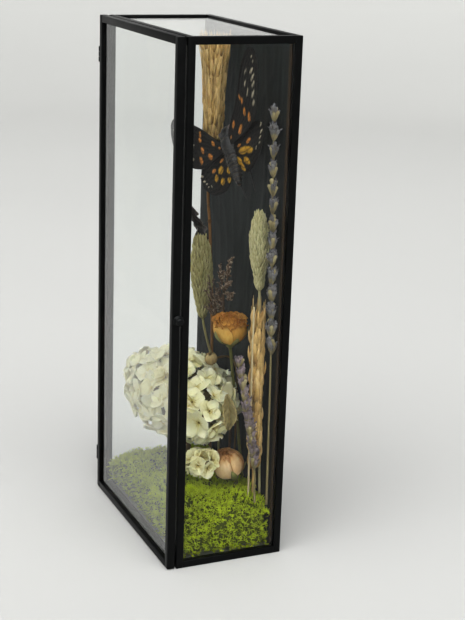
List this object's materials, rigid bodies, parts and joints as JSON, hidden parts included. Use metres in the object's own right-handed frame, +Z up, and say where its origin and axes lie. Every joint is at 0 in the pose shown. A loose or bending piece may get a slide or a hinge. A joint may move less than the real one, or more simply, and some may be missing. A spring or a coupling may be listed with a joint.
{
  "type": "cicada display box",
  "caption": "Upright glass box with black metal edges and a hinged glass door, holding a spread cicada on a black board above dried flowers and moss.",
  "frame": {"origin": "under the middle of the whole box, door closed, at the surface it stands on", "axes": "+Z up; -Y out of the glass door; +Y out of the back, behind the black board; +X towards the knob side, -X towards the hinges"},
  "size_m": [0.1336, 0.071, 0.3],
  "materials": {
    "frame_black": "satin black with lighter worn edges",
    "hinge_metal": "satin black",
    "clear_glass": "clear, polished",
    "knob_black": "glossy black",
    "board_black": "matt blue-black, upright creases",
    "moss": "fibrous, dry",
    "hydrangea": "dry, papery, cream with tan centres",
    "brown_stem": "dry stalk",
    "rose_orange": "dried petals",
    "rose_peach": "dried petals",
    "calyx_green": "dry olive",
    "bud_brown": "dry",
    "statice": "dry, papery",
    "leaf_olive": "dry leaf",
    "leaf_dark": "dry leaf",
    "lavender": "dry calyces, grey-purple over tan",
    "wheat_gold": "dry husks and awns",
    "straw": "dry straw",
    "grass_pale": "dry husks",
    "grass_green": "dry husks",
    "cicada_black": "chitin stands in: black with orange, cream and yellow spots",
    "pin_steel": "black insect pin"
  },
  "bodies": {
    "case": {"post_front_left": "frame_black", "post_front_right": "frame_black", "post_back_left": "frame_black", "post_back_right": "frame_black", "rail_top_front": "frame_black", "rail_top_back": "frame_black", "rail_top_left": "frame_black", "rail_top_right": "frame_black", "rail_bottom_front": "frame_black", "rail_bottom_back": "frame_black", "rail_bottom_left": "frame_black", "rail_bottom_right": "frame_black", "hinge_bottom_case": "hinge_metal", "hinge_top_case": "hinge_metal", "glass_left": "clear_glass", "glass_right": "clear_glass", "glass_back": "clear_glass", "glass_top": "clear_glass", "glass_bottom": "clear_glass", "backing_board": "board_black", "moss_bed": "moss", "hydrangea_head": "hydrangea", "hydrangea_sprig": "hydrangea", "hydrangea_stem": "brown_stem", "rose_upper_bloom": "rose_orange", "rose_lower_bloom": "rose_peach", "rose_upper_calyx": "calyx_green", "rose_lower_calyx": "calyx_green", "rosebud": "bud_brown", "statice_sprig": "statice", "dried_leaf": "leaf_olive", "curled_leaf": "leaf_dark", "lavender_tall": "lavender", "lavender_short": "lavender", "wheat_side_ear": "wheat_gold", "wheat_back_ear": "wheat_gold", "wheat_back_stalk": "brown_stem", "straw_side": "straw", "phalaris_side": "grass_pale", "phalaris_far": "grass_green", "cicada": "cicada_black", "cicada_pin": "pin_steel"},
    "door": {"door_stile_left": "frame_black", "door_stile_right": "frame_black", "door_rail_top": "frame_black", "door_rail_bottom": "frame_black", "door_glass": "clear_glass", "door_knob": "knob_black", "hinge_bottom_door": "hinge_metal", "hinge_top_door": "hinge_metal"}
  },
  "joints": [
    {"name": "door_hinge", "type": "hinge", "parent": "case", "child": "door", "pos_m": [-0.06475, -0.0343, 0.15], "axis": [0, 0, -1], "range_deg": [0, 110]}
  ]
}
